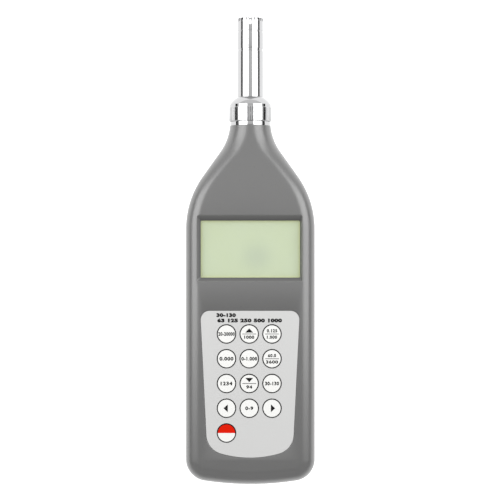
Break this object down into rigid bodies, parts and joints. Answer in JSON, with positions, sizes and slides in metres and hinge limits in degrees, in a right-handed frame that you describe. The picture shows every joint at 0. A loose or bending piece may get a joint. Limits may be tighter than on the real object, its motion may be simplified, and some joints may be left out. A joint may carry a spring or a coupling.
{
  "type": "sound level meter",
  "caption": "Hand-held sound level meter with a waisted two-part case, recessed display, round keys and a detachable measuring microphone on a knurled lock nut.",
  "frame": {"origin": "centre of the bounding box in X and Y, on the plane of the case's back", "axes": "+Y from the foot to the microphone tip, +Z out of the display, +X to the right as the display is read"},
  "size_m": [0.065, 0.235, 0.0261],
  "materials": {
    "case_grey": "fine satin moulding",
    "screw_steel": "zinc plated",
    "window_clear": "clear, anti-glare",
    "gasket_black": "closed-cell foam",
    "lcd_glass": "pale green when blank",
    "backlight_amber": "diffusing",
    "holder_black": "moulded",
    "strip_rubber": "layered elastomer",
    "overlay_grey": "printed film, satin",
    "spacer_black": "moulded",
    "board_green": "solder resist",
    "dome_steel": "stamped",
    "key_white": "satin",
    "key_red": "satin, red and white",
    "flex_amber": "polyimide film",
    "connector_ivory": "moulded",
    "chip_black": "moulded",
    "can_tin": "tinned",
    "jack_black": "moulded",
    "cell_jacket": "plain wrapped",
    "contact_nickel": "nickel plated",
    "lead_red": "insulated wire",
    "insert_brass": "turned",
    "barrel_nickel": "bright nickel plate",
    "socket_white": "moulded",
    "contact_gold": "gold flash",
    "insulator_clear": "fused quartz",
    "backplate_gold": "lapped",
    "foil_nickel": "thin foil"
  },
  "bodies": {
    "case": {"front_shell": "case_grey", "rear_shell": "case_grey", "case_screws": "screw_steel", "display_window": "window_clear", "display_gasket": "gasket_black", "lcd_front_glass": "lcd_glass", "lcd_rear_glass": "lcd_glass", "backlight_panel": "backlight_amber", "lcd_holder": "holder_black", "contact_strips": "strip_rubber", "keypad_overlay": "overlay_grey", "keypad_spacer": "spacer_black", "keypad_board": "board_green", "snap_domes": "dome_steel", "keypad_tail": "flex_amber", "tail_connector": "connector_ivory", "main_board": "board_green", "board_screws": "screw_steel", "board_chips": "chip_black", "shield_can": "can_tin", "output_jack": "jack_black", "battery_cells": "cell_jacket", "cell_springs": "contact_nickel", "contact_plates": "contact_nickel", "battery_leads": "lead_red", "tripod_insert": "insert_brass", "neck_bush": "barrel_nickel", "mic_socket": "socket_white", "socket_contacts": "contact_gold", "mic_leads": "lead_red"},
    "door": {"battery_door": "case_grey"},
    "microphone": {"preamp_tube": "barrel_nickel", "mic_plug": "socket_white", "plug_pins": "contact_gold", "preamp_board": "board_green", "capsule_housing": "barrel_nickel", "capsule_insulator": "insulator_clear", "backplate": "backplate_gold", "diaphragm": "foil_nickel", "protection_grid": "barrel_nickel"},
    "nut": {"lock_nut": "barrel_nickel"},
    "key_1": {"key_1": "key_white"},
    "key_2": {"key_2": "key_white"},
    "key_3": {"key_3": "key_white"},
    "key_4": {"key_4": "key_white"},
    "key_5": {"key_5": "key_white"},
    "key_6": {"key_6": "key_white"},
    "key_7": {"key_7": "key_white"},
    "key_8": {"key_8": "key_white"},
    "key_9": {"key_9": "key_white"},
    "key_10": {"key_10": "key_white"},
    "key_11": {"key_11": "key_white"},
    "key_12": {"key_12": "key_white"},
    "key_power": {"key_power": "key_red"}
  },
  "joints": [
    {"name": "key_1_press", "type": "slide", "parent": "case", "child": "key_1", "axis": [0, 0, -1], "range_m": [0, 0.0004], "stiffness_N_per_m": 500, "deforming": ["snap_domes"]},
    {"name": "key_2_press", "type": "slide", "parent": "case", "child": "key_2", "axis": [0, 0, -1], "range_m": [0, 0.0004], "stiffness_N_per_m": 500, "deforming": ["snap_domes"]},
    {"name": "key_3_press", "type": "slide", "parent": "case", "child": "key_3", "axis": [0, 0, -1], "range_m": [0, 0.0004], "stiffness_N_per_m": 500, "deforming": ["snap_domes"]},
    {"name": "key_4_press", "type": "slide", "parent": "case", "child": "key_4", "axis": [0, 0, -1], "range_m": [0, 0.0004], "stiffness_N_per_m": 500, "deforming": ["snap_domes"]},
    {"name": "key_5_press", "type": "slide", "parent": "case", "child": "key_5", "axis": [0, 0, -1], "range_m": [0, 0.0004], "stiffness_N_per_m": 500, "deforming": ["snap_domes"]},
    {"name": "key_6_press", "type": "slide", "parent": "case", "child": "key_6", "axis": [0, 0, -1], "range_m": [0, 0.0004], "stiffness_N_per_m": 500, "deforming": ["snap_domes"]},
    {"name": "key_7_press", "type": "slide", "parent": "case", "child": "key_7", "axis": [0, 0, -1], "range_m": [0, 0.0004], "stiffness_N_per_m": 500, "deforming": ["snap_domes"]},
    {"name": "key_8_press", "type": "slide", "parent": "case", "child": "key_8", "axis": [0, 0, -1], "range_m": [0, 0.0004], "stiffness_N_per_m": 500, "deforming": ["snap_domes"]},
    {"name": "key_9_press", "type": "slide", "parent": "case", "child": "key_9", "axis": [0, 0, -1], "range_m": [0, 0.0004], "stiffness_N_per_m": 500, "deforming": ["snap_domes"]},
    {"name": "key_10_press", "type": "slide", "parent": "case", "child": "key_10", "axis": [0, 0, -1], "range_m": [0, 0.0004], "stiffness_N_per_m": 500, "deforming": ["snap_domes"]},
    {"name": "key_11_press", "type": "slide", "parent": "case", "child": "key_11", "axis": [0, 0, -1], "range_m": [0, 0.0004], "stiffness_N_per_m": 500, "deforming": ["snap_domes"]},
    {"name": "key_12_press", "type": "slide", "parent": "case", "child": "key_12", "axis": [0, 0, -1], "range_m": [0, 0.0004], "stiffness_N_per_m": 500, "deforming": ["snap_domes"]},
    {"name": "key_power_press", "type": "slide", "parent": "case", "child": "key_power", "axis": [0, 0, -1], "range_m": [0, 0.0004], "stiffness_N_per_m": 500, "deforming": ["snap_domes"]},
    {"name": "door_slide", "type": "slide", "parent": "case", "child": "door", "axis": [0, -1, 0], "range_m": [0, 0.06]},
    {"name": "microphone_lift", "type": "slide", "parent": "case", "child": "microphone", "axis": [0, 1, 0], "range_m": [0, 0.0045]},
    {"name": "nut_turn", "type": "hinge", "parent": "microphone", "child": "nut", "pos_m": [0, 0, 0.013], "axis": [0, 1, 0], "range_deg": [0, 1080]}
  ],
  "couplings": [
    {"joint": "nut_turn", "follows": "microphone_lift", "rad_per_m": 4188.8}
  ]
}
